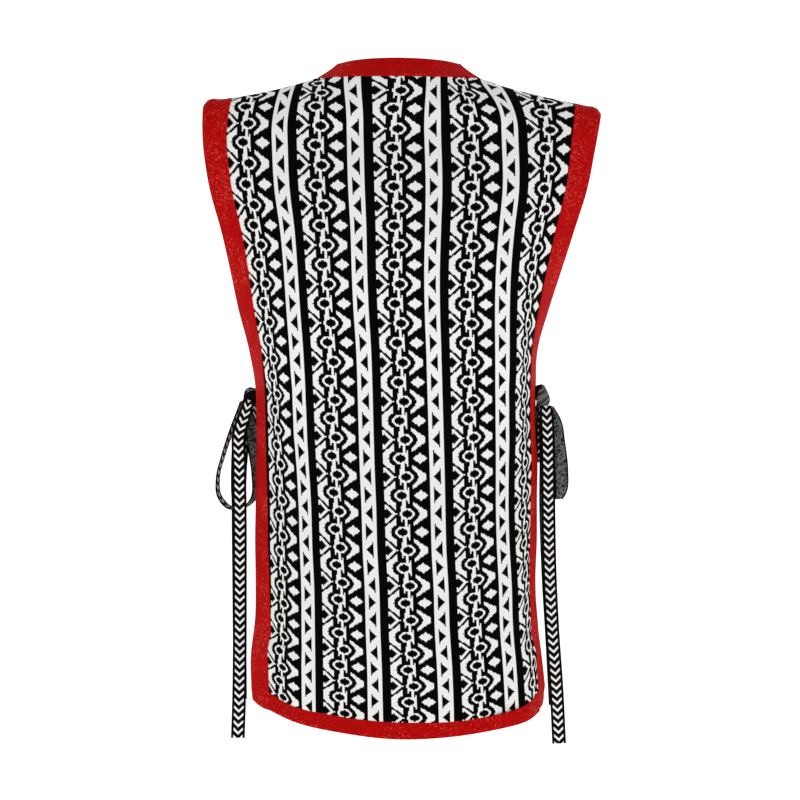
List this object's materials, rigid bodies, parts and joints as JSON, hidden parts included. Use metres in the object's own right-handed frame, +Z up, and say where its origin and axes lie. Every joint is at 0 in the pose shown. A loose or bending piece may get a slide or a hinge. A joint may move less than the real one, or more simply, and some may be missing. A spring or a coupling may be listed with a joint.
{
  "type": "knitted tabard vest",
  "caption": "Long sleeveless tabard vest in black and white jacquard knit, with red trims and neckband and black ribbon bows at its open sides.",
  "frame": {"origin": "midway between the shoulders of the worn vest, level with the shoulder seams", "axes": "+Z up, the front faces -Y, the back +Y, and the wearer's left is +X"},
  "size_m": [0.4242, 0.2423, 0.7325],
  "materials": {
    "jacquard_knit": "matte double jacquard knit, black and off-white yarn",
    "red_lurex_knit": "red rib knit with a metallic thread",
    "black_woven_ribbon": "black woven ribbon with a small white weave pattern"
  },
  "bodies": {
    "root": {"back_hem_trim": "red_lurex_knit", "back_panel_bottom": "jacquard_knit", "back_panel_middle": "jacquard_knit", "back_panel_top": "jacquard_knit", "front_hem_trim": "red_lurex_knit", "front_panel_bottom": "jacquard_knit", "front_panel_middle": "jacquard_knit", "front_panel_top": "jacquard_knit", "left_tie_back_loop": "black_woven_ribbon", "left_tie_back_strap": "black_woven_ribbon", "left_tie_back_tail": "black_woven_ribbon", "left_tie_front_loop": "black_woven_ribbon", "left_tie_front_strap": "black_woven_ribbon", "left_tie_front_tail": "black_woven_ribbon", "left_tie_knot": "black_woven_ribbon", "left_trim": "red_lurex_knit", "neckband": "red_lurex_knit", "right_tie_back_loop": "black_woven_ribbon", "right_tie_back_strap": "black_woven_ribbon", "right_tie_back_tail": "black_woven_ribbon", "right_tie_front_loop": "black_woven_ribbon", "right_tie_front_strap": "black_woven_ribbon", "right_tie_front_tail": "black_woven_ribbon", "right_tie_knot": "black_woven_ribbon", "right_trim": "red_lurex_knit"}
  },
  "joints": []
}
